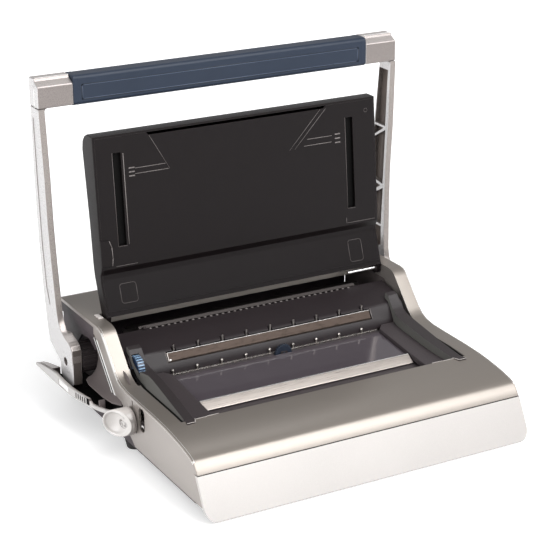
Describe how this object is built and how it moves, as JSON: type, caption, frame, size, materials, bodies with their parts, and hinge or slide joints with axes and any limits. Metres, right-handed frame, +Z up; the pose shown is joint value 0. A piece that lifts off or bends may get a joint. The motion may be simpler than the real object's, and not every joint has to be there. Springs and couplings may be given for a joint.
{
  "type": "wire binding machine",
  "caption": "Manual desk wire binding machine with square-hole comb punch, wire closer jaw, fold-back lid, waste drawer and a U-shaped lever handle over its deck.",
  "frame": {"origin": "Centre of the underside of the whole machine's box at table level, with the handle up and the lid open.", "axes": "+Z up, -Y towards the person who uses it (drawer and knob side), +X to that person's right along the punch line and the cross shaft."},
  "size_m": [0.5052, 0.4266, 0.4306],
  "materials": {
    "silver": "satin silver paint",
    "side_grey": "matt purple-grey",
    "dark_shell": "fine grain dark grey",
    "lid_black": "satin near-black",
    "gloss_grey": "polished dark grey",
    "grip_blue": "satin slate blue",
    "dial_blue": "ribbed blue plastic",
    "knob_white": "smooth off-white",
    "bar_steel": "brushed lengthwise",
    "tool_steel": "ground steel",
    "foot_rubber": "matt black"
  },
  "bodies": {
    "frame": {"upper_housing": "silver", "base_pan": "side_grey", "foot_front_left": "foot_rubber", "foot_front_right": "foot_rubber", "foot_middle_left": "foot_rubber", "foot_middle_right": "foot_rubber", "foot_rear_left": "foot_rubber", "foot_rear_right": "foot_rubber", "side_plate_left": "side_grey", "side_plate_right": "side_grey", "back_cover": "side_grey", "shaft_bush_left": "tool_steel", "shaft_bush_right": "tool_steel", "shaft_boss_left": "dark_shell", "shaft_boss_right": "dark_shell", "work_tray": "dark_shell", "punch_cover": "dark_shell", "cheek_left": "dark_shell", "cheek_right": "dark_shell", "document_plate": "gloss_grey", "support_bar": "bar_steel", "hook_rail": "bar_steel", "punch_bed": "tool_steel", "die_plate": "tool_steel", "guide_plate": "tool_steel", "wheel_bracket": "dark_shell", "side_guard": "silver", "guard_window": "knob_white"},
    "handle": {"handle_arm_left": "silver", "handle_arm_right": "silver", "corner_block_left": "silver", "corner_block_right": "silver", "grip": "grip_blue", "cross_shaft": "tool_steel", "shaft_cam_left": "tool_steel", "shaft_cam_right": "tool_steel", "pivot_screw_left": "tool_steel", "pivot_screw_right": "tool_steel"},
    "punch": {"punch_comb": "tool_steel"},
    "closer": {"closer_jaw": "bar_steel", "stop_finger": "tool_steel"},
    "lid": {"lid_shell": "lid_black", "lid_panel": "lid_black", "lid_pin_left": "tool_steel", "lid_pin_right": "tool_steel"},
    "drawer": {"drawer_front": "silver", "drawer_bin": "dark_shell"},
    "knob": {"size_knob": "knob_white", "knob_shaft": "tool_steel", "stop_cam": "tool_steel"},
    "stop": {"closer_stop": "tool_steel"},
    "indicator": {"size_indicator": "foot_rubber"},
    "dial": {"edge_dial": "dial_blue"},
    "guide": {"edge_guide": "dark_shell"},
    "wheel": {"thumbwheel": "dial_blue"}
  },
  "joints": [
    {"name": "handle_fold", "type": "hinge", "parent": "frame", "child": "handle", "pos_m": [0, 0.1283, 0.079], "axis": [1, 0, 0], "range_deg": [0, 90]},
    {"name": "punch_slide", "type": "slide", "parent": "frame", "child": "punch", "axis": [0, -1, 0], "range_m": [0, 0.008]},
    {"name": "closer_slide", "type": "slide", "parent": "frame", "child": "closer", "axis": [0, -0.8287, 0.5596], "range_m": [0, 0.005]},
    {"name": "lid_fold", "type": "hinge", "parent": "frame", "child": "lid", "pos_m": [0, 0.1053, 0.128], "axis": [1, 0, 0], "range_deg": [0, 106.5]},
    {"name": "drawer_slide", "type": "slide", "parent": "frame", "child": "drawer", "axis": [0, -1, 0], "range_m": [0, 0.15]},
    {"name": "size_knob_turn", "type": "hinge", "parent": "frame", "child": "knob", "pos_m": [-0.236, -0.0167, 0.05], "axis": [1, 0, 0], "range_deg": [0, 270]},
    {"name": "closer_stop_slide", "type": "slide", "parent": "frame", "child": "stop", "axis": [0, 1, 0], "range_m": [0, 0.006]},
    {"name": "size_indicator_slide", "type": "slide", "parent": "frame", "child": "indicator", "axis": [0, 0, 1], "range_m": [0, 0.018]},
    {"name": "edge_dial_turn", "type": "hinge", "parent": "frame", "child": "dial", "pos_m": [-0.188, 0.0363, 0.091], "axis": [1, 0, 0], "range_deg": [-170, 170]},
    {"name": "edge_guide_slide", "type": "slide", "parent": "frame", "child": "guide", "axis": [1, 0, 0], "range_m": [-0.003, 0.003]},
    {"name": "thumbwheel_turn", "type": "hinge", "parent": "frame", "child": "wheel", "pos_m": [0.0073, 0.0226, 0.075], "axis": [0, 1, 0], "range_deg": [-180, 180]}
  ],
  "couplings": [
    {"joint": "punch_slide", "follows": "handle_fold", "m_per_rad": 0.005092},
    {"joint": "closer_slide", "follows": "handle_fold", "m_per_rad": 0.003183},
    {"joint": "size_knob_turn", "follows": "closer_stop_slide", "rad_per_m": 785.39},
    {"joint": "size_indicator_slide", "follows": "closer_stop_slide", "ratio": 3},
    {"joint": "edge_dial_turn", "follows": "edge_guide_slide", "rad_per_m": 989}
  ]
}
